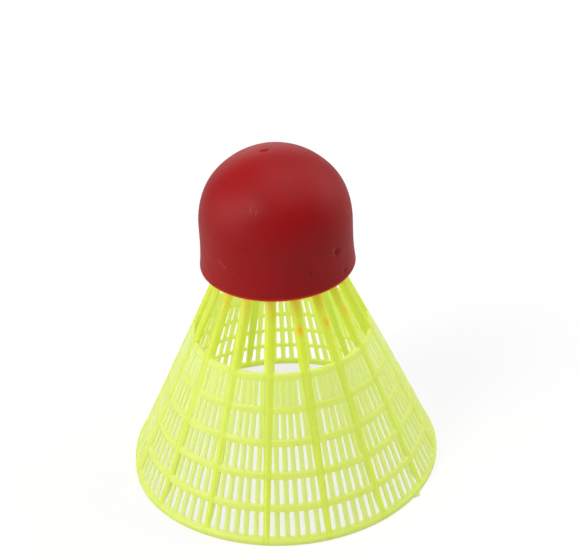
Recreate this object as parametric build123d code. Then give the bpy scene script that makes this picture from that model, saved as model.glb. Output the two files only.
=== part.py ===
"""Badminton shuttlecock with a moulded net skirt and a rubber head.

Three pieces, as they come apart on a bench:

  skirt      one moulding: rim, ring bands, ribs, fine bars and the collar that holds the head
  head_cap   rubber cap, snapped over the collar's flange
  head_core  light foam filling that the cap and the collar hold between them

The rim stands on the plane z = 0, and the axis of the shuttlecock is +Z, with the head on top.
"""

from build123d import *
from math import atan2, cos, degrees, radians, sin
import os

# Skirt, over all
skirt_diameter = 58.0  # over the rim bead
crown_height = 40.5  # from the rim plane to the head's lower edge

# Net
rib_count = 16
row_count = 5
slots_per_gore = 6  # in each row between two ribs
net_height = 27.8  # top of the highest ring band
ring_height = 1.15
rim_height = 1.55
rim_bead_height = 1.0  # straight outer wall of the rim
rim_bead_step = 0.1  # the rim stands out past the ribs by this much
rim_step = 0.15  # rim bore inside the net's inner face, on the radius
bar_width = 0.85
net_wall = 0.6
net_recess = 0.15  # bars lie this far inside the rib ridges
ring_recess = 0.05  # ring bands lie this far inside the rib ridges
slot_end_land = 0.12  # plain wall between a slot's end and its ring band
slot_side_land = 0.05  # plain wall between a slot and a rib
narrowest_slot = 0.18

# Ribs
rib_width_at_crown = 2.1
rib_width_at_rim = 1.0
rib_ridge_share = 0.45  # width of the flat ridge, as a share of the rib
rib_thickness = 1.15
rib_shoulder = 0.5  # height of the sloping sides below the ridge
rib_foot_rise = 0.2  # inside, the ribs start this far above the rim

# Collar
collar_wall = 1.7
collar_drop = 0.8  # how far the collar hangs below the head's edge
flange_thickness = 1.2

# Head
head_diameter = 26.9
head_overhang = 2.75  # how far the head's wall stands out past the ribs
head_height = 22.3
head_flare = 0.4  # growth in radius at the lower edge
head_flare_height = 6.0
head_edge_radius = 0.5
cap_wall = 2.0
lip_height = 2.0  # rubber below the collar's flange

# Clearances, on the radius
mouth_clearance = 0.12  # cap lip around the collar
flange_clearance = 0.12  # cap wall around the collar's flange
core_clearance = 0.10  # cap wall around the core

# Values that follow
rim_radius = skirt_diameter / 2
head_radius = head_diameter / 2
crown_radius = head_radius - head_overhang  # over the ribs where they go into the head
ridge_run = rim_radius - rim_bead_step - crown_radius
ridge_rise = crown_height - rim_bead_height
slope = ridge_run / ridge_rise
lean = atan2(ridge_run, ridge_rise)
gore_angle = 360 / rib_count
row_pitch = (net_height - rim_height) / row_count
cavity_radius = head_radius - cap_wall
fill_radius = cavity_radius - core_clearance
mouth_radius = crown_radius + mouth_clearance
collar_bore_radius = crown_radius - collar_wall
collar_base = crown_height - collar_drop
flange_radius = cavity_radius - flange_clearance
flange_base = crown_height + lip_height
flange_top = flange_base + flange_thickness
dome_base = crown_height + head_height - head_radius


def ridge_radius(z):
    """Radius of the rib ridges, the outermost cone, at height z."""
    return crown_radius + slope * (crown_height - z)


def net_outer_radius(z):
    return ridge_radius(z) - net_recess


def net_inner_radius(z):
    return net_outer_radius(z) - net_wall / cos(lean)


def rib_width(z):
    return rib_width_at_rim + (rib_width_at_crown - rib_width_at_rim) * z / crown_height


rim_bore_radius = net_inner_radius(rim_height) - rim_step


def ring_band(row):
    """Lowest and highest z of a ring band; band 0 is the rim."""
    z_high = rim_height + row * row_pitch
    return (z_high - ring_height if row else 0.0), z_high


def bar_angles():
    """Angles of the bars of one gore, measured from its first rib, in degrees.

    At the rim plane all the slots of a row are equally wide.
    """
    gore_arc = radians(gore_angle) * rim_radius
    bars = slots_per_gore - 1
    slot = (gore_arc - rib_width_at_rim - bars * bar_width) / slots_per_gore
    first = rib_width_at_rim / 2 + slot + bar_width / 2
    return [degrees((first + k * (slot + bar_width)) / rim_radius) for k in range(bars)]


def slot_sides(number, z):
    """Angles of the two sides of a slot at height z, in degrees."""
    bars = bar_angles()
    bar_half = degrees(bar_width / 2 / net_outer_radius(z))
    rib_half = degrees((rib_width(z) / 2 + slot_side_land) / net_outer_radius(z))
    low = rib_half if number == 0 else bars[number - 1] + bar_half
    high = gore_angle - rib_half if number == slots_per_gore - 1 else bars[number] - bar_half
    return low, high


def slot_cutter(row, number):
    """A block that cuts one slot, or None where the slot would be too narrow to mould."""
    z_low = ring_band(row)[1] + slot_end_land
    z_high = ring_band(row + 1)[0] - slot_end_land
    z_middle = (z_low + z_high) / 2
    low, high = slot_sides(number, z_middle)
    if radians(high - low) * net_outer_radius(z_middle) < narrowest_slot:
        return None
    azimuth = (low + high) / 2
    sides = []
    for z in (z_low, z_high):
        along = (z - z_middle) / cos(lean)
        edges = [radians(angle - azimuth) for angle in slot_sides(number, z)]
        sides.append([(net_outer_radius(z) * sin(edge), along) for edge in edges])
    wall = Plane(
        origin=(net_outer_radius(z_middle), 0, z_middle),
        x_dir=(0, 1, 0),
        z_dir=(cos(lean), 0, sin(lean)),
    )
    outline = make_face(Polyline(*sides[0], *reversed(sides[1]), close=True))
    return Rot(0, 0, azimuth) * extrude(wall * outline, amount=2 * net_wall, both=True)


def slots():
    """Cutters for every slot: those of one gore, turned about the axis."""
    gore = [slot_cutter(row, number) for row in range(row_count) for number in range(slots_per_gore)]
    gore = [cutter for cutter in gore if cutter is not None]
    return [Rot(0, 0, k * gore_angle) * cutter for k in range(rib_count) for cutter in gore]


def wall():
    """Cone wall with its ring bands and rim, before its bore and slots are cut."""
    blank_radius = rim_bore_radius - net_wall
    outline = [(blank_radius, 0), (rim_radius, 0), (rim_radius, rim_bead_height)]
    outline.append((ridge_radius(rim_height) - ring_recess, rim_height))
    outline.append((net_outer_radius(rim_height), rim_height))
    for row in range(1, row_count + 1):
        z_low, z_high = ring_band(row)
        outline.append((net_outer_radius(z_low), z_low))
        outline.append((ridge_radius(z_low) - ring_recess, z_low))
        outline.append((ridge_radius(z_high) - ring_recess, z_high))
        if row < row_count:
            outline.append((net_outer_radius(z_high), z_high))
    outline.append((net_inner_radius(net_height), net_height))
    outline.append((net_inner_radius(rim_height), rim_height))
    outline.append((blank_radius, rim_height))
    return revolve(Plane.XZ * make_face(Polyline(*outline, close=True)), axis=Axis.Z)


def rib_section(z):
    """Section of a rib in the plane at height z: flat inside, sloping sides, narrow flat ridge."""
    outer = ridge_radius(z)
    inner = outer - rib_thickness / cos(lean)
    shoulder = outer - rib_shoulder / cos(lean)
    half = rib_width(z) / 2
    ridge_half = half * rib_ridge_share
    points = [(inner, -half), (shoulder, -half), (outer, -ridge_half)]
    points += [(outer, ridge_half), (shoulder, half), (inner, half)]
    return Plane.XY.offset(z) * make_face(Polyline(*points, close=True))


def ribs():
    """Ribs from inside the rim to inside the collar."""
    rib = loft([rib_section(rim_bead_height), rib_section(crown_height + lip_height / 2)], ruled=True)
    return [Rot(0, 0, k * gore_angle) * rib for k in range(rib_count)]


def collar():
    """Disc that the ribs run into, with the flange that the cap's lip snaps over, before its bore."""
    outline = [
        (0, collar_base),
        (crown_radius, collar_base),
        (crown_radius, flange_base),
        (flange_radius, flange_base),
        (flange_radius, flange_top),
        (0, flange_top),
    ]
    return revolve(Plane.XZ * make_face(Polyline(*outline, close=True)), axis=Axis.Z)


def bore(radius, z_low, z_high):
    return Pos(0, 0, z_low) * Cylinder(radius, z_high - z_low, align=(Align.CENTER, Align.CENTER, Align.MIN))


def skirt():
    body = wall() + ribs() + collar()
    body -= bore(rim_bore_radius, -rim_height, rim_height + rib_foot_rise)
    body -= bore(collar_bore_radius, collar_base - collar_drop, flange_top + flange_thickness)
    return body - slots()


def head_cap():
    """Hemisphere on a short straight wall, flared at the lower edge, hollow above its lip."""
    base_radius = head_radius + head_flare
    flare_top = crown_height + head_flare_height
    apex = crown_height + head_height
    profile = [
        Line((mouth_radius, crown_height), (base_radius - head_edge_radius, crown_height)),
        RadiusArc(
            (base_radius - head_edge_radius, crown_height),
            (base_radius, crown_height + head_edge_radius),
            -head_edge_radius,
        ),
        Spline(
            (base_radius, crown_height + head_edge_radius),
            (head_radius, flare_top),
            tangents=[(-head_flare, head_flare_height), (0, 1)],
        ),
        Line((head_radius, flare_top), (head_radius, dome_base)),
        RadiusArc((head_radius, dome_base), (0, apex), -head_radius),
        Line((0, apex), (0, dome_base + cavity_radius)),
        RadiusArc((0, dome_base + cavity_radius), (cavity_radius, dome_base), cavity_radius),
        Line((cavity_radius, dome_base), (cavity_radius, flange_base)),
        Line((cavity_radius, flange_base), (mouth_radius, flange_base)),
        Line((mouth_radius, flange_base), (mouth_radius, crown_height)),
    ]
    return revolve(Plane.XZ * make_face(profile), axis=Axis.Z)


def head_core():
    """Foam filling that stands on the collar's flange and fills the cap's hollow."""
    profile = [
        Line((0, flange_top), (fill_radius, flange_top)),
        Line((fill_radius, flange_top), (fill_radius, dome_base)),
        RadiusArc((fill_radius, dome_base), (0, dome_base + fill_radius), -fill_radius),
        Line((0, dome_base + fill_radius), (0, flange_top)),
    ]
    return revolve(Plane.XZ * make_face(profile), axis=Axis.Z)


pieces = {"skirt": skirt(), "head_cap": head_cap(), "head_core": head_core()}

os.makedirs("parts", exist_ok=True)
for name, piece in pieces.items():
    export_step(piece, f"parts/{name}.step")
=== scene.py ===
"""Badminton shuttlecock: a net skirt of fluorescent plastic under a matte red rubber head."""

from math import atan2, cos, pi, radians, sin

import bpy
import numpy as np
from mathutils import Matrix, Vector


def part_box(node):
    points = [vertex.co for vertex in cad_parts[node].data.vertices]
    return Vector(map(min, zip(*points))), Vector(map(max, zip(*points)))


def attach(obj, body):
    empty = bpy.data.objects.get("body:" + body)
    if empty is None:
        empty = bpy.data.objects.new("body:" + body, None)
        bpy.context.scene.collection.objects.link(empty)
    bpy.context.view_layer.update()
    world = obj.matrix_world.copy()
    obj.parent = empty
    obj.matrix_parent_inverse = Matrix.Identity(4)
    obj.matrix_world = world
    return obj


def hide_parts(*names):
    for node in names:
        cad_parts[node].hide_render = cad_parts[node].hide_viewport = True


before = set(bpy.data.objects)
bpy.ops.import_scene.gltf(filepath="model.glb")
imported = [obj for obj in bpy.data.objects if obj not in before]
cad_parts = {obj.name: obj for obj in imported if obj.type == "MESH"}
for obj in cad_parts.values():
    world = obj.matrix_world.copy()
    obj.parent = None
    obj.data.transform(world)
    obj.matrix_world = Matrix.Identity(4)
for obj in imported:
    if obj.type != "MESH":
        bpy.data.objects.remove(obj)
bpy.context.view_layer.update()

bl_info = {
    "name": "Badminton Shuttlecock",
    "version": (1, 0, 0),
    "blender": (4, 5, 0),
    "location": "3D View > Sidebar > Shuttlecock",
    "description": "Net skirt, rubber head and studio of a badminton shuttlecock",
    "category": "Object",
}

MM = 0.001
BODY = "root"
SKIRT_LOW, SKIRT_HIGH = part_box("skirt")
CAP_LOW, CAP_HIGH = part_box("head_cap")


# Settings


class SkirtSettings(bpy.types.PropertyGroup):
    """Sizes and colours of the moulded skirt."""

    rim_radius: bpy.props.FloatProperty(
        name="Rim radius", description="Outer radius of the rim", default=SKIRT_HIGH[0], unit="LENGTH"
    )
    crown_radius: bpy.props.FloatProperty(
        name="Crown radius", description="Radius over the ribs at the head", default=10.7 * MM, unit="LENGTH"
    )
    crown_height: bpy.props.FloatProperty(
        name="Crown height", description="Height of the head's lower edge", default=CAP_LOW[2], unit="LENGTH"
    )
    rib_count: bpy.props.IntProperty(name="Ribs", description="Ribs around the skirt", default=16, min=3)
    row_count: bpy.props.IntProperty(name="Rows", description="Rows of slots", default=5, min=1)
    net_height: bpy.props.FloatProperty(
        name="Net height", description="Top of the highest ring band", default=27.8 * MM, unit="LENGTH"
    )
    ring_height: bpy.props.FloatProperty(
        name="Ring height", description="Height of a ring band", default=1.15 * MM, unit="LENGTH"
    )
    rim_height: bpy.props.FloatProperty(
        name="Rim height", description="Height of the rim", default=1.55 * MM, unit="LENGTH"
    )
    bar_width: bpy.props.FloatProperty(
        name="Bar width", description="Width of the fine bars", default=0.85 * MM, unit="LENGTH"
    )
    net_wall: bpy.props.FloatProperty(
        name="Net wall", description="Thickness of bars and bands", default=0.42 * MM, unit="LENGTH"
    )
    rib_width_at_crown: bpy.props.FloatProperty(
        name="Rib width at crown", description="Rib width at the head", default=2.1 * MM, unit="LENGTH"
    )
    rib_width_at_rim: bpy.props.FloatProperty(
        name="Rib width at rim", description="Rib width at the rim", default=1.0 * MM, unit="LENGTH"
    )
    rib_thickness: bpy.props.FloatProperty(
        name="Rib thickness", description="Thickness through a rib", default=1.15 * MM, unit="LENGTH"
    )
    colour: bpy.props.FloatVectorProperty(
        name="Plastic", description="Colour of the plastic", subtype="COLOR", default=(0.58, 0.67, 0.15)
    )


class HeadSettings(bpy.types.PropertyGroup):
    """Sizes and colours of the rubber head."""

    radius: bpy.props.FloatProperty(
        name="Head radius", description="Radius of the straight wall", default=13.45 * MM, unit="LENGTH"
    )
    base_radius: bpy.props.FloatProperty(
        name="Base radius", description="Radius of the flared edge", default=CAP_HIGH[0], unit="LENGTH"
    )
    base_height: bpy.props.FloatProperty(
        name="Base height", description="Height of the lower edge", default=CAP_LOW[2], unit="LENGTH"
    )
    top_height: bpy.props.FloatProperty(
        name="Top height", description="Height of the dome's top", default=CAP_HIGH[2], unit="LENGTH"
    )
    colour: bpy.props.FloatVectorProperty(
        name="Rubber", description="Colour of the rubber", subtype="COLOR", default=(0.42, 0.005, 0.007)
    )


# Meshes from arrays


def make_mesh(name, vertices, faces, point_values=(), sharp_angle=40):
    """Mesh object from an (n, 3) array in metres and a list of (m, k) index arrays.

    Edges are smooth below sharp_angle, in degrees. point_values holds one float per vertex for each name.
    """
    mesh = bpy.data.meshes.new(name)
    vertices = np.asarray(vertices, dtype=np.float32)
    mesh.vertices.add(len(vertices))
    mesh.vertices.foreach_set("co", vertices.ravel())
    corners = np.concatenate([f.ravel() for f in faces]).astype(np.int32)
    counts = np.concatenate([np.full(len(f), f.shape[1]) for f in faces])
    mesh.loops.add(len(corners))
    mesh.loops.foreach_set("vertex_index", corners)
    mesh.polygons.add(len(counts))
    starts = np.concatenate([[0], np.cumsum(counts)[:-1]]).astype(np.int32)
    mesh.polygons.foreach_set("loop_start", starts)
    mesh.polygons.foreach_set("use_smooth", np.ones(len(counts), dtype=bool))
    for key, values in dict(point_values).items():
        layer = mesh.attributes.new(key, "FLOAT", "POINT")
        layer.data.foreach_set("value", values.astype(np.float32).ravel())
    mesh.update(calc_edges=True)
    mesh.validate()
    mesh.set_sharp_from_angle(angle=radians(sharp_angle))
    made = bpy.data.objects.new(name, mesh)
    bpy.context.scene.collection.objects.link(made)
    return made


def smooth_step(x):
    """0 below 0, 1 above 1, and 3x^2 - 2x^3 between."""
    x = np.clip(x, 0, 1)
    return x * x * (3 - 2 * x)


def shell_faces(solid):
    """Faces of a double-walled sheet on a grid that closes round its columns.

    solid[i, j] says whether the cell between rows i, i + 1 and columns j, j + 1 has material. Outer
    vertices come first, then the inner ones. Each filled cell gives an outer and an inner quad, and every
    border between a filled and an empty cell gives a quad across the wall.
    """
    rows, columns = solid.shape
    index = np.arange((rows + 1) * columns).reshape(rows + 1, columns)
    outer, inner = index, index + index.size
    right = np.roll(np.arange(columns), -1)

    def quads(mask, a, b, c, d):
        return np.stack([a[mask], b[mask], c[mask], d[mask]], axis=-1)

    low, high = outer[:-1], outer[1:]
    low_in, high_in = inner[:-1], inner[1:]
    faces = [
        quads(solid, low, low[:, right], high[:, right], high),
        quads(solid, low_in, high_in, high_in[:, right], low_in[:, right]),
    ]
    before = np.roll(solid, 1, axis=1)
    faces.append(quads(solid & ~before, low, high, high_in, low_in))
    faces.append(quads(~solid & before, low, low_in, high_in, high))
    above = np.vstack([solid, np.zeros((1, columns), bool)])
    below = np.vstack([np.zeros((1, columns), bool), solid])
    faces.append(quads(above & ~below, outer, inner, inner[:, right], outer[:, right]))
    faces.append(quads(~above & below, outer, outer[:, right], inner[:, right], inner))
    return np.concatenate(faces)


# Skirt

RIB, FOOT, BAR, SLOT = range(4)  # what a column of the grid belongs to
STEMS, COLLAR = -1, -2  # zones of the grid above the net

BAR_COUNT = 5
BAR_SCALE = np.array([1.12, 1.19, 1.19, 1.12, 1.12])  # each bar's share of the bar width, across a gore
BAR_PROFILE = np.array([-1, -0.72, 0, 0.72, 1])  # places of a bar's columns, in half widths
RIB_PROFILE = np.array([0, 0.35, 0.6, 0.85, 1.0])  # places of a rib's columns, from its ridge to its side
NARROWEST_SLOT = 0.19 * MM
NET_RECESS = 0.15 * MM  # depth of the bars below the ribs' ridges
BAND_RECESS = 0.05 * MM
EDGE_ROUND = 0.12 * MM
RIB_ROUND = 0.55 * MM
FILLET = 0.8 * MM

RIM_BEAD = 1.0 * MM
RIM_STEP = 0.1 * MM
FOOT_SHARE = 0.13  # part of the rim's height in which its foot is rounded
NIB_ANGLE = -27.0
NIB_LENGTH = 0.55 * MM
NIB_WIDTH = 0.7 * MM

COLLAR_DROP = 0.8 * MM  # how far the collar reaches below the head's edge
COLLAR_WALL = 1.7 * MM
FLANGE_HEIGHT = 1.2 * MM
FLANGE_RADIUS = 11.33 * MM
FLANGE_BASE = SKIRT_HIGH[2] - FLANGE_HEIGHT


def ring_band(s, row):
    """Lowest and highest z of a ring band; band 0 is the rim."""
    high = s.rim_height + row * (s.net_height - s.rim_height) / s.row_count
    return (high - s.ring_height if row else 0.0), high


def ring_place(s, z):
    """0 at the middle of a ring band, 1 at its edges, and more outside every band."""
    middles = [sum(ring_band(s, row)) / 2 for row in range(1, s.row_count + 1)]
    place = np.min([np.abs(z - middle) for middle in middles], axis=0) / (s.ring_height / 2)
    rim = np.abs(z - s.rim_height / 2) / (s.rim_height / 2)
    return np.round(np.minimum(place, rim), 6)


def slot_corner(s, z):
    """How far a slot's sides close in at height z, so that its corners are round."""
    ends = [z_end for row in range(s.row_count + 1) for z_end in ring_band(s, row)]
    reach = 0.25 * MM
    near = np.min([np.abs(z - z_end) for z_end in ends], axis=0) / reach
    return 0.07 * MM * (1 - near).clip(0, 1) ** 2 * (z < s.net_height)


def around_bump(theta, angle, width):
    """1 at that angle about the axis, and exp(-(away / width)^2) off it, in degrees."""
    away = (np.degrees(theta) - angle + 180) % 360 - 180
    return np.exp(-((away / width) ** 2))


def collar_base(s):
    """Height at which the collar starts, just below the head's lower edge."""
    return s.crown_height - COLLAR_DROP


def skirt_rows(s):
    """Heights of the grid's rows, and the zone that each strip between two rows lies in.

    Zones are 0 for ring bands and the rim, 1 to row_count for rows of slots counted from the rim, STEMS for
    the open ribs and COLLAR for the ring inside the head.
    """
    heights, zones = [], []

    def add_rows(low, high, shares, zone):
        heights.extend(low + (high - low) * share for share in shares)
        zones.extend([zone] * len(shares))

    add_rows(0, s.rim_height, (0, 0.04, 0.13, 0.35, 0.65, 0.78, 0.9), 0)
    for row in range(1, s.row_count + 1):
        base, top = ring_band(s, row)
        below = ring_band(s, row - 1)[1]
        add_rows(below, base, (0, 0.02, 0.06, 0.5, 0.94, 0.98), row)
        add_rows(base, top, (0, 0.1, 0.35, 0.65, 0.9), 0)
    start = collar_base(s)
    add_rows(top, start, (0, 0.02, 0.05, 0.1, 0.18, 0.3, 0.45, 0.6, 0.75, 0.9, 0.975), STEMS)
    heights += [start, start + 0.15 * MM, s.crown_height, FLANGE_BASE - 0.02 * MM, FLANGE_BASE, SKIRT_HIGH[2]]
    zones += [COLLAR] * 5
    return np.array(heights), np.array(zones)


def rib_half_width(s, z):
    """Half a rib's width at height z: it widens evenly to the head, with fillets at both ends of a window."""
    half = (s.rib_width_at_rim + (s.rib_width_at_crown - s.rib_width_at_rim) * z / s.crown_height) / 2
    net_top = ring_band(s, s.row_count)[1]

    def fillet(away):
        away = np.clip(away, 0, FILLET)
        return FILLET - np.sqrt(FILLET**2 - (FILLET - away) ** 2)

    at_net = np.where(z >= net_top, fillet(z - net_top), 0)
    at_collar = np.where(z <= collar_base(s), fillet(collar_base(s) - z), 0)
    return half + 0.5 * at_net * (z > net_top) + 0.4 * at_collar * (z > net_top)


def bar_edges(s, z, middle):
    """Arc lengths of each bar's two sides from its gore's first rib, indexed by row, gore and bar.

    The bars are evenly spread at the rim and keep their width, with small random shifts, sways and widths.
    Near a slot's end they widen, which rounds the slot's corners.
    """
    gore = 2 * pi / s.rib_count
    slot_arc = (gore * s.rim_radius - s.rib_width_at_rim - BAR_COUNT * s.bar_width) / (BAR_COUNT + 1)
    first = s.rib_width_at_rim / 2 + slot_arc + s.bar_width / 2
    angle = (first + np.arange(BAR_COUNT) * (slot_arc + s.bar_width)) / s.rim_radius

    rng = np.random.default_rng(11)
    shape = (s.rib_count, BAR_COUNT)
    shift = rng.normal(0, 0.035 * MM, shape)
    sway = rng.normal(0, 0.03 * MM, shape)
    phase = rng.uniform(0, 2 * pi, shape)
    scale = BAR_SCALE * (1 + rng.normal(0, 0.03, shape))

    sway_length = 23 * MM
    turns = z[:, None, None] * 2 * pi / sway_length
    centre = angle * middle[:, None, None] + shift + sway * np.sin(turns + phase)
    half = s.bar_width / 2 * scale + slot_corner(s, z)[:, None, None]
    return centre - half, centre + half


def skirt_columns(s, z, middle):
    """Angle of every grid point, and each column's kind and its place across its rib or bar.

    A column keeps to one feature: the ridge, flank or foot of a rib, the edge or middle of a bar, or the
    middle of a slot. Its angle is an arc length from the gore's first rib over the cone's radius there.
    """
    gore = 2 * pi / s.rib_count
    arc = (middle * gore)[:, None]
    half_rib = rib_half_width(s, z)[:, None]
    foot = half_rib + 0.05 * MM + slot_corner(s, z)[:, None]
    low, high = bar_edges(s, z, middle)
    gap = 0.015 * MM
    low[:, :, 0] = np.maximum(low[:, :, 0], foot + gap)
    high[:, :, -1] = np.minimum(high[:, :, -1], arc - foot - gap)

    columns = []
    for g in range(s.rib_count):
        parts = [RIB_PROFILE * half_rib, foot]
        left = foot
        for b in range(BAR_COUNT):
            start, end = low[:, g, b, None], high[:, g, b, None]
            parts += [(left + start) / 2, (start + end) / 2 + (end - start) / 2 * BAR_PROFILE]
            left = end
        parts += [(left + arc - foot) / 2, arc - foot, arc - (RIB_PROFILE * half_rib)[:, :0:-1]]
        columns.append(np.concatenate(parts, axis=1) / middle[:, None] + g * gore)

    half_columns = len(RIB_PROFILE)
    kinds = [RIB] * half_columns + [FOOT] + ([SLOT] + [BAR] * len(BAR_PROFILE)) * BAR_COUNT
    kinds += [SLOT, FOOT] + [RIB] * (half_columns - 1)
    across = [*RIB_PROFILE, 1.0] + [0.0, *BAR_PROFILE] * BAR_COUNT + [0.0, 1.0, *RIB_PROFILE[:0:-1]]
    return np.concatenate(columns, axis=1), np.tile(kinds, s.rib_count), np.tile(across, s.rib_count)


def outer_depth(s, z, kinds, across):
    """Depth of the outer face below the cone over the ridges, and the depth that the ribs alone would have.

    It is the least of the depths of the bands, bars and ribs, each deeper at its edges, which rounds them.
    """
    rib = (kinds == RIB)[None, :]
    in_band = ring_place(s, z)[:, None]
    stems = (z >= ring_band(s, s.row_count)[1] - 1e-9)[:, None]
    off_middle = np.abs(across)[None, :]
    band_depth = BAND_RECESS + EDGE_ROUND * np.clip(in_band, 0, 1) ** 6
    bar_depth = NET_RECESS + EDGE_ROUND * off_middle**6
    rib_depth = RIB_ROUND * smooth_step((off_middle - 0.3) / 0.75)
    beyond = 9 * MM
    depth = np.where(in_band <= 1, band_depth, beyond)
    depth = np.where(rib, depth, np.minimum(depth, bar_depth))
    depth = np.where(rib & ~stems, np.minimum(depth, NET_RECESS), depth)
    depth = np.where(rib, np.minimum(depth, rib_depth), depth)
    return np.where(stems & ~rib, band_depth, depth), rib_depth


def inner_depth(s, z, kinds, across, lean):
    """Depth of the inner face below the same cone: the net's wall, the ribs' backs and the rim's foot."""
    rib = (kinds == RIB)[None, :]
    off_middle = np.abs(across)[None, :]
    in_band = ring_place(s, z)[:, None]
    rim = (z <= s.rim_height)[:, None]
    net = NET_RECESS + s.net_wall / cos(lean) - EDGE_ROUND * 0.4 * off_middle**6 * ~rib
    back = s.rib_thickness / cos(lean) - 0.2 * MM * off_middle**4
    rise = smooth_step((z - s.rim_height) / (1.2 * MM))[:, None]
    depth = np.where(rib, net + (back - net) * rise, net)
    thick_foot = (1.0 - 0.5 * smooth_step((z / s.rim_height - 0.3) / 0.7)) * MM
    depth = np.where(rim, np.maximum(depth, thick_foot[:, None]), depth)
    return depth - 0.1 * MM * np.clip(in_band, 0, 1) ** 6 * ((in_band <= 1) & ~rim & ~rib)


def shape_rim(s, z, theta, ridge, radius_out, radius_in):
    """Both radii with the rim made a bead, straight outside and round at its foot, and the runner's nib."""
    rim = (z <= s.rim_height)[:, None]
    share = np.clip(z / s.rim_height, 0, 1)
    foot = (1 - share / FOOT_SHARE).clip(0, 1) ** 2
    ring_one = ridge[z >= s.rim_height][0] - 0.17 * MM
    bead = s.rim_radius - 0.2 * MM * foot
    bead = bead - (s.rim_radius - ring_one) * smooth_step((share - 0.6) / 0.35)
    radius_out = np.where(rim, bead[:, None], radius_out)
    away = ((theta - radians(NIB_ANGLE) + pi) % (2 * pi) - pi) * s.rim_radius / NIB_WIDTH
    radius_out = radius_out + NIB_LENGTH * np.exp(-(away**4)) * (z < 0.3 * s.rim_height)[:, None]
    radius_in = np.where(rim, radius_in + 0.2 * MM * foot[:, None], radius_in)
    return radius_out, radius_in


def out_of_round(s, z, theta):
    """How far the moulding strays from a true cone, outwards.

    One side bows out at half height and the other is a little flat. Near the rim there is one bulge and one
    flat more. It stops at the head.
    """
    share_up = (z / s.crown_height).clip(0, 1)[:, None]
    half_height = np.sin(pi * share_up)
    low_down = (1 - share_up) ** 2
    stray = 0.18 * half_height * around_bump(theta, 8, 60)
    stray = stray - (0.3 + 0.1 * half_height) * around_bump(theta, 188, 24)
    stray = stray + low_down * (0.34 * around_bump(theta, -137, 26) - 0.26 * around_bump(theta, -46, 36))
    return stray * MM * (z < s.crown_height)[:, None]


def solid_cells(s, zone, theta, kinds, middle):
    """Which cells of the grid hold plastic: all but the slots that are wide enough, and the open windows."""
    solid = np.ones((len(zone), theta.shape[1]), bool)
    slots = np.where(kinds == SLOT)[0]
    span = np.roll(theta, -1, axis=1) - np.roll(theta, 1, axis=1)
    for row in range(1, s.row_count + 1):
        strips = np.where(zone == row)[0]
        at = strips[len(strips) // 2]
        open_slots = slots[(span[at] * middle[at])[slots] > NARROWEST_SLOT]
        opened = np.zeros(len(kinds), bool)
        opened[open_slots] = True
        opened[open_slots - 1] = True
        solid[strips] = ~opened
    solid[zone == STEMS] = (kinds == RIB) & (np.roll(kinds, -1) == RIB)
    return solid


def skirt_piece(s):
    """The whole moulding as one double-walled sheet on a grid of heights and angles.

    Each face of the sheet is the cone over the ribs' ridges less a depth that depends on the feature. Bars
    keep their width, so slots narrow towards the head. The collar and its flange take over inside the head.
    """
    run = s.rim_radius - RIM_STEP - s.crown_radius
    rise = s.crown_height - RIM_BEAD
    z, zone = skirt_rows(s)
    ridge = s.crown_radius + run / rise * (s.crown_height - z)
    middle = ridge - NET_RECESS
    theta, kinds, across = skirt_columns(s, z, middle)

    outer, rib_depth = outer_depth(s, z, kinds, across)
    radius_out = ridge[:, None] - outer
    radius_in = ridge[:, None] - inner_depth(s, z, kinds, across, atan2(run, rise))
    radius_out, radius_in = shape_rim(s, z, theta, ridge, radius_out, radius_in)

    in_collar = (z >= collar_base(s) - 1e-9)[:, None]
    in_flange = (z >= FLANGE_BASE - 1e-9)[:, None]
    rib_crest = np.where((kinds == RIB)[None, :], ridge[:, None] - rib_depth, 0)
    radius_out = np.where(in_collar, np.maximum(rib_crest, s.crown_radius), radius_out)
    radius_out = np.where(in_flange, FLANGE_RADIUS, radius_out)
    radius_in = np.where(in_collar, s.crown_radius - COLLAR_WALL, radius_in)
    stray = out_of_round(s, z, theta)

    heights = np.broadcast_to(z[:, None], theta.shape)
    vertices = np.concatenate([
        np.stack([radius * np.cos(theta), radius * np.sin(theta), heights], axis=-1).reshape(-1, 3)
        for radius in (radius_out + stray, radius_in + stray)
    ])
    faces = shell_faces(solid_cells(s, zone, theta, kinds, middle))
    used = np.unique(faces)
    renumber = np.zeros(len(vertices), int)
    renumber[used] = np.arange(len(used))
    masks = {
        "ridge": np.where(kinds == RIB, 1 - np.abs(across), 0)[None, :],
        "band": (ring_place(s, z) <= 1)[:, None],
        "rib": (kinds == RIB)[None, :],
    }
    values = {key: np.tile((mask * np.ones_like(theta)).ravel(), 2)[used] for key, mask in masks.items()}
    return make_mesh("skirt_moulding", vertices[used], [renumber[faces]], values, sharp_angle=50)


class SHUTTLE_OT_skirt(bpy.types.Operator):
    """Mould the skirt: rim, ring bands, ribs, bars and collar"""

    bl_idname = "shuttle.skirt"
    bl_label = "Skirt"

    def execute(self, context):
        s = context.scene.shuttle_skirt
        piece = skirt_piece(s)
        piece.data.materials.append(skirt_plastic(s))
        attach(piece, BODY)
        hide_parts("skirt")
        return {"FINISHED"}


# Head

EDGE_RADIUS = 0.8 * MM
FLARE_HEIGHT = 6.0 * MM
CAP_WALL = 2.0 * MM
CAP_MOUTH = 10.82 * MM
MOUTH_BEVEL = 0.2 * MM
FULLNESS = 0.06 * MM  # how much fuller than its stated radius the moulded wall is
SHOULDER = 0.13 * MM  # extra fullness of the dome's shoulder
AROUND = 384
MARKED_FROM = 12  # rows above the lower edge's first one that stay unmarked

# Marks on the wall: angle about the axis in degrees, height
DENT = (-33, 47.2 * MM)
FRONT_PIT = (-58, 45.3 * MM)
SIDE_PIT = (-24, 42.6 * MM)
NUB_OFFSET = 1.5 * MM


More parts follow.
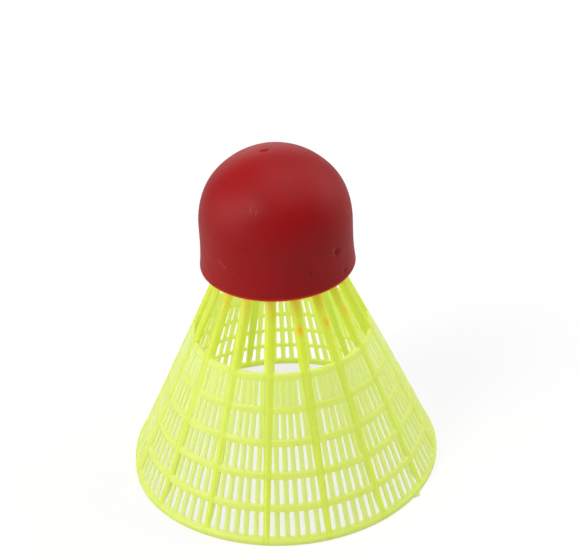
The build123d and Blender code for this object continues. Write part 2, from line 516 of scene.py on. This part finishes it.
def head_profile(h):
    """Radii and heights of the cap's section, and the number of its points that lie inside the mouth.

    It runs from the top of the hollow down to the lip and the mouth, out along the underside, round the lower
    edge, in along the flare and up the wall. The dome is a quarter circle, a little fuller at its shoulder.
    """
    flare_top = h.base_height + FLARE_HEIGHT
    dome_base = h.top_height - h.radius
    hollow = h.radius - CAP_WALL
    turn = np.linspace(pi / 2, 0, 24)
    inside = np.stack([hollow * np.cos(turn), dome_base + hollow * np.sin(turn)], axis=-1)
    inside[0, 0] = 0
    step = np.array([
        [hollow, FLANGE_BASE],
        [CAP_MOUTH, FLANGE_BASE],
        [CAP_MOUTH, h.base_height + MOUTH_BEVEL],
        [CAP_MOUTH + MOUTH_BEVEL, h.base_height],
    ])
    edge_centre = np.array([h.base_radius - EDGE_RADIUS, h.base_height + EDGE_RADIUS])
    under = np.linspace(CAP_MOUTH + 0.5 * MM, edge_centre[0], 8)
    under = np.stack([under, np.full(8, h.base_height)], axis=-1)
    bend = np.linspace(-pi / 2, 0, 9)[1:]
    corner = edge_centre + EDGE_RADIUS * np.stack([np.cos(bend), np.sin(bend)], axis=-1)
    rise = np.linspace(0, 1, 18)[1:]
    waist = h.radius + FULLNESS
    flare_out = waist + (h.base_radius - waist) * (1 - rise) ** 2
    flare = np.stack([flare_out, edge_centre[1] + (flare_top - edge_centre[1]) * rise], axis=-1)
    up = np.linspace(0, 1, 26)[1:]
    wall = np.stack([np.full(len(up), waist), flare_top + (dome_base - flare_top) * up], axis=-1)
    over = np.linspace(0, pi / 2, 90)[1:]
    off_shoulder = (np.degrees(over) - 31) / 14
    dome = h.radius + FULLNESS * np.cos(over) ** 2 + SHOULDER * np.exp(-(off_shoulder**2))
    dome = np.stack([dome * np.cos(over), dome_base + dome * np.sin(over)], axis=-1)
    dome[-1] = (0, h.top_height)
    section = np.concatenate([inside, step, under, corner, flare, wall, dome])
    return section, len(inside) + len(step)


def head_marks(x, y, z, h):
    """How far each place stands out, in metres: dents, pits, the nub and a slow unevenness.

    A dent is depth * exp(-(distance / radius)^2) about its middle. The unevenness fades at the top.
    """

    def spot(angle, height, radius, depth):
        a = radians(angle)
        at = np.array([h.radius * cos(a), h.radius * sin(a), height])
        away = np.sqrt((x - at[0]) ** 2 + (y - at[1]) ** 2 + (z - at[2]) ** 2) / radius
        return depth * np.exp(-away * away)

    marks = spot(*DENT, 0.7 * MM, -0.3 * MM) + spot(DENT[0] + 1.5, DENT[1] - 1.0 * MM, 0.6 * MM, 0.05 * MM)
    marks = marks + spot(*FRONT_PIT, 0.35 * MM, -0.16 * MM)
    marks = marks + spot(*SIDE_PIT, 0.45 * MM, -0.18 * MM)
    away = np.hypot(x + NUB_OFFSET, y - 0.1 * MM) / (0.75 * MM)
    high = z > h.top_height - 2 * MM
    marks = marks + high * (0.2 * MM * np.exp(-(away**4)) - 0.05 * MM * np.exp(-((away - 1.4) ** 2) * 5))
    angle = np.arctan2(y, x)
    off_pole = ((x * x + y * y) / h.radius**2).clip(0, 1)
    sway = 0.035 * MM * np.sin(3 * angle + 1.0) * np.sin(z / (5 * MM))
    return marks + off_pole * (sway + 0.02 * MM * np.sin(7 * angle + z / (3 * MM)))


def head_piece(h):
    """The cap: its section turned about the axis, with marks raised or sunk along the surface's normal."""
    section, outer_from = head_profile(h)
    angle = np.linspace(0, 2 * pi, AROUND, endpoint=False)
    ring = section[1:-1]
    tangent = np.gradient(ring, axis=0)
    normal = np.stack([tangent[:, 1], -tangent[:, 0]], axis=-1)
    normal /= np.linalg.norm(normal, axis=1)[:, None]
    radius, height = ring[:, 0][:, None], ring[:, 1][:, None]
    x, y = radius * np.cos(angle), radius * np.sin(angle)
    z = height + 0 * angle
    marked = np.arange(1, len(section) - 1) >= outer_from + MARKED_FROM
    marks = head_marks(x, y, z, h) * marked[:, None]
    radius = radius + normal[:, :1] * marks
    z = z + normal[:, 1:] * marks
    grid = np.stack([radius * np.cos(angle), radius * np.sin(angle), z], axis=-1)
    vertices = np.concatenate([grid.reshape(-1, 3), [[0, 0, section[0, 1]], [0, 0, section[-1, 1]]]])
    rows = len(ring)
    index = np.arange(rows * AROUND).reshape(rows, AROUND)
    right = np.roll(index, -1, axis=1)
    quads = np.stack([index[:-1], right[:-1], right[1:], index[1:]], axis=-1).reshape(-1, 4)
    inner_pole, outer_pole = rows * AROUND, rows * AROUND + 1
    fan_in = np.stack([np.full(AROUND, inner_pole), right[0], index[0]], axis=-1)
    fan_out = np.stack([index[-1], right[-1], np.full(AROUND, outer_pole)], axis=-1)
    return make_mesh("head_rubber_cap", vertices, [quads, fan_in, fan_out], sharp_angle=60)


class SHUTTLE_OT_head(bpy.types.Operator):
    """Mould the rubber cap and fill it with its foam core"""

    bl_idname = "shuttle.head"
    bl_label = "Head"

    def execute(self, context):
        h = context.scene.shuttle_head
        piece = head_piece(h)
        piece.data.materials.append(head_rubber(h))
        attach(piece, BODY)
        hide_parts("head_cap")
        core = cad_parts["head_core"]
        core.data.materials.clear()
        core.data.materials.append(core_foam())
        return {"FINISHED"}


# Materials


def new_material(name):
    """A material with its node tree, Principled shader and output."""
    material = bpy.data.materials.new(name)
    material.use_nodes = True
    tree = material.node_tree
    return material, tree, tree.nodes["Principled BSDF"]


def add(tree, kind, **values):
    """A node of that kind, with properties set by name."""
    node = tree.nodes.new(kind)
    for key, value in values.items():
        setattr(node, key, value)
    return node


def mottle_group():
    """Soft blotches and fine grain on Object coordinates: a share from 0 to 1, and a height for a bump."""
    if "moulded_mottle" in bpy.data.node_groups:
        return bpy.data.node_groups["moulded_mottle"]
    group = bpy.data.node_groups.new("moulded_mottle", "ShaderNodeTree")
    for label, value in (("Blotch Scale", 120.0), ("Grain Scale", 2500.0)):
        socket = group.interface.new_socket(label, in_out="INPUT", socket_type="NodeSocketFloat")
        socket.default_value = value
    group.interface.new_socket("Blotch", in_out="OUTPUT", socket_type="NodeSocketFloat")
    group.interface.new_socket("Grain", in_out="OUTPUT", socket_type="NodeSocketFloat")
    inputs = add(group, "NodeGroupInput")
    outputs = add(group, "NodeGroupOutput")
    where = add(group, "ShaderNodeTexCoord")
    for label, detail, target in (("Blotch Scale", 3.0, "Blotch"), ("Grain Scale", 5.0, "Grain")):
        noise = add(group, "ShaderNodeTexNoise")
        noise.inputs["Detail"].default_value = detail
        group.links.new(where.outputs["Object"], noise.inputs["Vector"])
        group.links.new(inputs.outputs[label], noise.inputs["Scale"])
        group.links.new(noise.outputs["Fac"], outputs.inputs[target])
    return group


def place_mottle(tree, blotch, grain):
    """The mottle group with its two scales."""
    node = add(tree, "ShaderNodeGroup", node_tree=mottle_group())
    node.inputs["Blotch Scale"].default_value = blotch
    node.inputs["Grain Scale"].default_value = grain
    return node


def mix_colour(tree, factor, a, b, blend="MIX"):
    """Colour mix of a and b, each a socket or a colour, by factor, a socket or a number."""
    node = add(tree, "ShaderNodeMix", data_type="RGBA", blend_type=blend)
    for socket, value in ((node.inputs[0], factor), (node.inputs[6], a), (node.inputs[7], b)):
        if isinstance(value, bpy.types.NodeSocket):
            tree.links.new(value, socket)
        elif isinstance(value, (int, float)):
            socket.default_value = value
        else:
            socket.default_value = (*value, 1.0)
    return node.outputs[2]


def remap(tree, value, low, high, to_low, to_high):
    """value from low..high to to_low..to_high, clamped."""
    node = add(tree, "ShaderNodeMapRange")
    tree.links.new(value, node.inputs["Value"])
    for key, number in (("From Min", low), ("From Max", high), ("To Min", to_low), ("To Max", to_high)):
        node.inputs[key].default_value = number
    return node.outputs["Result"]


def math_node(tree, operation, a, b):
    """Result of a maths operation on a and b, each a socket or a number."""
    node = add(tree, "ShaderNodeMath", operation=operation)
    for socket, value in ((node.inputs[0], a), (node.inputs[1], b)):
        if isinstance(value, bpy.types.NodeSocket):
            tree.links.new(value, socket)
        else:
            socket.default_value = value
    return node.outputs[0]


def attribute(tree, name):
    """A float attribute of the mesh."""
    return add(tree, "ShaderNodeAttribute", attribute_name=name).outputs["Fac"]


def height_of(tree):
    """Height above the ground."""
    place = add(tree, "ShaderNodeSeparateXYZ")
    tree.links.new(add(tree, "ShaderNodeTexCoord").outputs["Object"], place.inputs["Vector"])
    return place.outputs["Z"]


def bump(tree, height, strength, distance):
    """Normal of a surface with that height on it."""
    node = add(tree, "ShaderNodeBump")
    node.inputs["Strength"].default_value = strength
    node.inputs["Distance"].default_value = distance
    tree.links.new(height, node.inputs["Height"])
    return node.outputs["Normal"]


def spot_mask(tree, angle, reach, height, size, tilt=0):
    """1 at a spot on the surface, falling to 0 at its edge.

    angle is about the axis, reach is off the axis, and size holds the spot's half lengths outwards, around
    and up, which tilt turns about the outward direction.
    """
    a = radians(angle)
    where = add(tree, "ShaderNodeTexCoord").outputs["Object"]
    mapping = add(tree, "ShaderNodeMapping", vector_type="TEXTURE")
    mapping.inputs["Location"].default_value = (reach * cos(a), reach * sin(a), height)
    mapping.inputs["Rotation"].default_value = (radians(tilt), 0, a)
    mapping.inputs["Scale"].default_value = size
    tree.links.new(where, mapping.inputs["Vector"])
    ball = add(tree, "ShaderNodeTexGradient", gradient_type="QUADRATIC_SPHERE")
    tree.links.new(mapping.outputs["Vector"], ball.inputs["Vector"])
    return ball.outputs["Fac"]


def strongest(tree, masks):
    """The largest of (mask, strength) pairs at each place, each mask times its strength."""
    best = 0.0
    for mask, strength in masks:
        best = math_node(tree, "MAXIMUM", math_node(tree, "MULTIPLY", mask, strength), best)
    return best


SCUFFED_RIBS = {-67.5: 0.95, -45: 0.9, -22.5: 0.7, -157.5: 0.35, 112.5: 0.5}  # angle of a rib: strength
SCUFF_REACH = 13.5 * MM
SCUFF_HEIGHT = 34.4 * MM
SCUFF_SIZE = (1.3 * MM, 1.0 * MM, 2.1 * MM)
SCUFF_COLOUR = (0.78, 0.40, 0.01)
PLASTIC_PAINTED_GLOW = 0.42  # share of its colour that the fluorescent plastic gives back as a painted glow, standing in for light through and round it

# painted bounce light: a lighter orange red where the skirt's light falls on the head's lower edge
LOWER_EDGE_BOUNCE_COLOUR = (0.62, 0.04, 0.012)
LOWER_EDGE_GLOW = (0.30, 0.018, 0.004)  # light that the bright skirt throws on it
# painted shade of the dent and pits, also the colour of a dark line and a dark smudge
PIT_SHADE_AND_MARK_COLOUR = (0.17, 0.003, 0.004)
# colour of the light scratches, and of a painted highlight beside the dent
SCRATCH_AND_HIGHLIGHT_COLOUR = (0.62, 0.14, 0.13)
NUB_COLOUR = (0.50, 0.022, 0.012)


def skirt_plastic(s):
    """Translucent fluorescent plastic with a painted glow in its own colour, which stands in for light
    through and round it.

    It is paler in the thin bars, yellower along the ribs' ridges, darker up the open ribs with painted shade
    and red bounce light of the head on their ridges just below it, and scuffed there.
    """
    material, tree, shader = new_material("skirt_plastic")
    mottle = place_mottle(tree, 160.0, 2200.0)
    base = np.array(s.colour[:])
    pale = tuple(base * (0.98, 0.98, 1.5))
    deep = tuple(base * (0.90, 0.96, 0.52))
    yellow = tuple(base * (1.02, 0.99, 0.62))
    # painted shade and red bounce light of the head, a darker olive
    stem = tuple(base * (0.97, 0.98, 0.27))
    painted_head_shade = tuple(base * (1.06, 0.80, 0.12))
    rib = attribute(tree, "rib")
    ridge = attribute(tree, "ridge")
    height = height_of(tree)
    up_stem = remap(tree, height, 26.5 * MM, 31 * MM, 0, 0.9)
    near_head = remap(tree, height, 35.5 * MM, 39.5 * MM, 0, 1)
    colour = mix_colour(tree, attribute(tree, "band"), pale, tuple(base))
    colour = mix_colour(tree, rib, colour, deep)
    colour = mix_colour(tree, remap(tree, ridge, 0.15, 0.55, 0, 0.9), colour, yellow)
    colour = mix_colour(tree, math_node(tree, "MULTIPLY", up_stem, rib), colour, stem)
    # Painted shade and red bounce light of the head on the ribs' ridges just below it.
    head_shade_on_ridge = math_node(tree, "MULTIPLY", near_head, remap(tree, ridge, 0.1, 0.8, 0.6, 1.0))
    colour = mix_colour(tree, head_shade_on_ridge, colour, painted_head_shade)
    blotch = remap(tree, mottle.outputs["Blotch"], 0.35, 0.65, 0, 0.35)
    colour = mix_colour(tree, blotch, colour, tuple(base * (0.94, 0.99, 0.8)))
    scuffs = [
        (spot_mask(tree, angle, SCUFF_REACH, SCUFF_HEIGHT, SCUFF_SIZE), 1.4 * strength)
        for angle, strength in SCUFFED_RIBS.items()
    ]
    colour = mix_colour(tree, strongest(tree, scuffs), colour, SCUFF_COLOUR)
    tree.links.new(colour, shader.inputs["Base Color"])
    # Painted glow: the plastic's colour given back as light, which lifts and evens its brightness.
    tree.links.new(colour, shader.inputs["Emission Color"])
    shader.inputs["Emission Strength"].default_value = PLASTIC_PAINTED_GLOW
    tree.links.new(remap(tree, mottle.outputs["Grain"], 0.3, 0.7, 0.32, 0.48), shader.inputs["Roughness"])
    shader.inputs["Subsurface Weight"].default_value = 1.0
    shader.inputs["Subsurface Radius"].default_value = (1.0, 1.0, 0.5)
    shader.inputs["Subsurface Scale"].default_value = 2.5 * MM
    shader.inputs["IOR"].default_value = 1.5
    tree.links.new(bump(tree, mottle.outputs["Grain"], 0.12, 0.05 * MM), shader.inputs["Normal"])
    return material


def head_rubber(h):
    """Matte moulded rubber with soft blotches and fine grain; painted shade in its dent and pits, a dark line
    and a dark smudge, a few light scratches, a painted highlight by the dent, and painted bounce light of the
    skirt along its lower edge.
    """
    material, tree, shader = new_material("head_rubber")
    mottle = place_mottle(tree, 90.0, 1800.0)
    base = np.array(h.colour[:])
    blotch = remap(tree, mottle.outputs["Blotch"], 0.3, 0.7, 0, 1)
    colour = mix_colour(tree, blotch, tuple(base * (0.93, 0.85, 0.85)), tuple(base * (1.07, 1.25, 1.25)))
    wide, thin = 0.8 * MM, 0.2 * MM
    # Painted shade in the dent and the two pits, which the geometry also sinks, then a dark line and a dark
    # smudge.
    dark = [
        (spot_mask(tree, DENT[0], h.radius, DENT[1], (wide, 0.75 * MM, 0.85 * MM)), 2.6),
        (spot_mask(tree, FRONT_PIT[0], h.radius, FRONT_PIT[1], (wide, 0.5 * MM, 0.5 * MM)), 2.2),
        (spot_mask(tree, SIDE_PIT[0], h.radius + 0.1 * MM, SIDE_PIT[1], (wide, 0.6 * MM, 0.7 * MM)), 2.4),
        (spot_mask(tree, -105, h.radius, 50.2 * MM, (wide, 2.6 * MM, thin)), 0.9),
        (spot_mask(tree, -115, h.radius, 44.3 * MM, (wide, 0.8 * MM, 0.45 * MM)), 0.8),
    ]
    light = [
        (spot_mask(tree, -128, h.radius, 46.4 * MM, (wide, 0.9 * MM, thin), -25), 1.3),
        (spot_mask(tree, -124, h.radius, 45.9 * MM, (wide, 0.8 * MM, thin), -20), 1.1),
        # painted highlight on the dent's upper rim
        (spot_mask(tree, -36.5, h.radius, 47.9 * MM, (wide, 0.8 * MM, 0.5 * MM), -40), 0.45),
        (spot_mask(tree, -103, 11.3 * MM, 56.7 * MM, (wide, thin, 1.1 * MM), 8), 0.7),
        (spot_mask(tree, -98, 11.5 * MM, 56.3 * MM, (wide, thin, 1.0 * MM), -6), 0.7),
    ]
    # Painted bounce light of the skirt: the lower edge is coloured lighter orange and glows.
    low_edge = remap(tree, height_of(tree), h.base_height + 0.9 * MM, h.base_height + 0.25 * MM, 0, 0.85)
    colour = mix_colour(tree, low_edge, colour, LOWER_EDGE_BOUNCE_COLOUR)
    glow = mix_colour(tree, low_edge, (0, 0, 0), LOWER_EDGE_GLOW)
    tree.links.new(glow, shader.inputs["Emission Color"])
    shader.inputs["Emission Strength"].default_value = 1.0
    colour = mix_colour(tree, strongest(tree, dark), colour, PIT_SHADE_AND_MARK_COLOUR)
    colour = mix_colour(tree, strongest(tree, light), colour, SCRATCH_AND_HIGHLIGHT_COLOUR)
    nub = spot_mask(tree, 176, NUB_OFFSET, h.top_height, (0.9 * MM, 0.9 * MM, wide))
    colour = mix_colour(tree, math_node(tree, "MULTIPLY", nub, 1.6), colour, NUB_COLOUR)
    tree.links.new(colour, shader.inputs["Base Color"])
    tree.links.new(remap(tree, mottle.outputs["Grain"], 0.3, 0.7, 0.38, 0.5), shader.inputs["Roughness"])
    shader.inputs["Specular IOR Level"].default_value = 0.24
    shader.inputs["IOR"].default_value = 1.5
    tree.links.new(bump(tree, mottle.outputs["Grain"], 0.25, 0.06 * MM), shader.inputs["Normal"])
    return material


def core_foam():
    """Closed-cell foam, pale and speckled."""
    material, tree, shader = new_material("core_foam")
    mottle = place_mottle(tree, 900.0, 3000.0)
    cells = remap(tree, mottle.outputs["Blotch"], 0.35, 0.65, 0, 1)
    colour = mix_colour(tree, cells, (0.62, 0.58, 0.5), (0.8, 0.77, 0.7))
    tree.links.new(colour, shader.inputs["Base Color"])
    shader.inputs["Roughness"].default_value = 0.85
    tree.links.new(bump(tree, mottle.outputs["Blotch"], 0.5, 0.2 * MM), shader.inputs["Normal"])
    return material


# Stage

FLOOR_SIZE = 6.0
FLOOR_COLOUR = (0.58, 0.58, 0.57)
FLOOR_SEEN = (0.42, 0.46, 0.30)  # as the camera sees it: less of the light that the skirt colours
FLOOR_SEEN_GLOW = (0.635, 0.60, 0.74)

BASE_LEVEL = 0.05
SKY_LOBES = (  # angle about the axis from +X and elevation in degrees, level, sharpness
    (-132, 40, 6.2, 46),  # key, high at the front left
    (-160, 10, 2.3, 9),  # wide fill, low at the left
    (30, 25, 1.6, 9),  # wide fill, at the right
    (105, 15, 1.4, 10),  # behind, at the right
    (0, 80, 2.0, 8),  # overhead
)

CAMERA_LENS = 85.15
CAMERA_DIRECTION = -81.8  # degrees about the axis, from +X
CAMERA_REACH = 212.9 * MM
CAMERA_HEIGHT = 161.2 * MM
CAMERA_ROLL = -2.18
AIM_SIDE = 2.17 * MM
AIM_HEIGHT = 36.92 * MM


def white_floor():
    """Pale ground that keeps the object's shadow, and shows near white to the camera."""
    material, tree, shader = new_material("white_floor")
    seen = add(tree, "ShaderNodeLightPath").outputs["Is Camera Ray"]
    colour = mix_colour(tree, seen, FLOOR_COLOUR, FLOOR_SEEN)
    tree.links.new(colour, shader.inputs["Base Color"])
    shader.inputs["Roughness"].default_value = 0.9
    shader.inputs["Specular IOR Level"].default_value = 0.1
    shader.inputs["Emission Color"].default_value = (*FLOOR_SEEN_GLOW, 1)
    tree.links.new(seen, shader.inputs["Emission Strength"])
    return material


def studio_world():
    """Soft lights of a studio as lobes of brightness round the sky, and plain white where the camera sees it.

    A lobe adds level * cos(angle off its direction)^sharpness.
    """
    world = bpy.data.worlds.new("studio")
    world.use_nodes = True
    tree = world.node_tree
    back = tree.nodes["Background"]
    toward = add(tree, "ShaderNodeTexCoord").outputs["Generated"]
    level = BASE_LEVEL
    for angle, elevation, peak, sharpness in SKY_LOBES:
        a, e = radians(angle), radians(elevation)
        along = add(tree, "ShaderNodeVectorMath", operation="DOT_PRODUCT")
        tree.links.new(toward, along.inputs[0])
        along.inputs[1].default_value = (cos(a) * cos(e), sin(a) * cos(e), sin(e))
        facing = math_node(tree, "MAXIMUM", along.outputs["Value"], 0.0)
        lobe = math_node(tree, "MULTIPLY", math_node(tree, "POWER", facing, sharpness), peak)
        level = math_node(tree, "ADD", lobe, level)
    seen = add(tree, "ShaderNodeLightPath").outputs["Is Camera Ray"]
    shown = add(tree, "ShaderNodeMix", data_type="FLOAT")
    for socket, value in ((shown.inputs[0], seen), (shown.inputs[2], level)):
        tree.links.new(value, socket)
    shown.inputs[3].default_value = 1.0
    tree.links.new(shown.outputs[0], back.inputs["Strength"])
    back.inputs["Color"].default_value = (1, 1, 1, 1)
    return world


def make_camera():
    """Camera above and in front, looking down at the skirt, slightly rolled."""
    data = bpy.data.cameras.new("camera")
    data.sensor_width = 36.0
    data.lens = CAMERA_LENS
    data.clip_start = 0.01
    camera = bpy.data.objects.new("camera", data)
    a = radians(CAMERA_DIRECTION)
    out, side = Vector((cos(a), sin(a), 0)), Vector((-sin(a), cos(a), 0))
    place = out * CAMERA_REACH + Vector((0, 0, CAMERA_HEIGHT))
    aim = side * AIM_SIDE + Vector((0, 0, AIM_HEIGHT))
    turn = (aim - place).to_track_quat("-Z", "Y")
    roll = Matrix.Rotation(radians(CAMERA_ROLL), 4, "Z")
    camera.matrix_world = Matrix.Translation(place) @ turn.to_matrix().to_4x4() @ roll
    bpy.context.scene.collection.objects.link(camera)
    bpy.context.scene.camera = camera


class SHUTTLE_OT_stage(bpy.types.Operator):
    """Set up the pale ground, the studio light and the camera"""

    bl_idname = "shuttle.stage"
    bl_label = "Stage"

    def execute(self, context):
        half = FLOOR_SIZE / 2
        corners = np.array([[-half, -half, 0], [half, -half, 0], [half, half, 0], [-half, half, 0]])
        floor = make_mesh("floor", corners, [np.array([[0, 1, 2, 3]])])
        floor.data.materials.append(white_floor())
        context.scene.world = studio_world()
        context.scene.view_settings.view_transform = "Standard"
        make_camera()
        return {"FINISHED"}


# Panel and registration


class SHUTTLE_PT_panel(bpy.types.Panel):
    """Sizes, colours and buttons for the shuttlecock"""

    bl_label = "Shuttlecock"
    bl_idname = "SHUTTLE_PT_panel"
    bl_space_type = "VIEW_3D"
    bl_region_type = "UI"
    bl_category = "Shuttlecock"

    def draw(self, context):
        for settings in (context.scene.shuttle_skirt, context.scene.shuttle_head):
            box = self.layout.box()
            for key in settings.__annotations__:
                box.prop(settings, key)
        for operator in OPERATORS:
            self.layout.operator(operator.bl_idname)


OPERATORS = (SHUTTLE_OT_skirt, SHUTTLE_OT_head, SHUTTLE_OT_stage)
CLASSES = (SkirtSettings, HeadSettings, *OPERATORS, SHUTTLE_PT_panel)


def register():
    for cls in CLASSES:
        bpy.utils.register_class(cls)
    bpy.types.Scene.shuttle_skirt = bpy.props.PointerProperty(type=SkirtSettings)
    bpy.types.Scene.shuttle_head = bpy.props.PointerProperty(type=HeadSettings)


def unregister():
    del bpy.types.Scene.shuttle_head
    del bpy.types.Scene.shuttle_skirt
    for cls in reversed(CLASSES):
        bpy.utils.unregister_class(cls)


def main():
    register()
    bpy.ops.shuttle.skirt()
    bpy.ops.shuttle.head()
    bpy.ops.shuttle.stage()


if __name__ == "__main__":
    main()
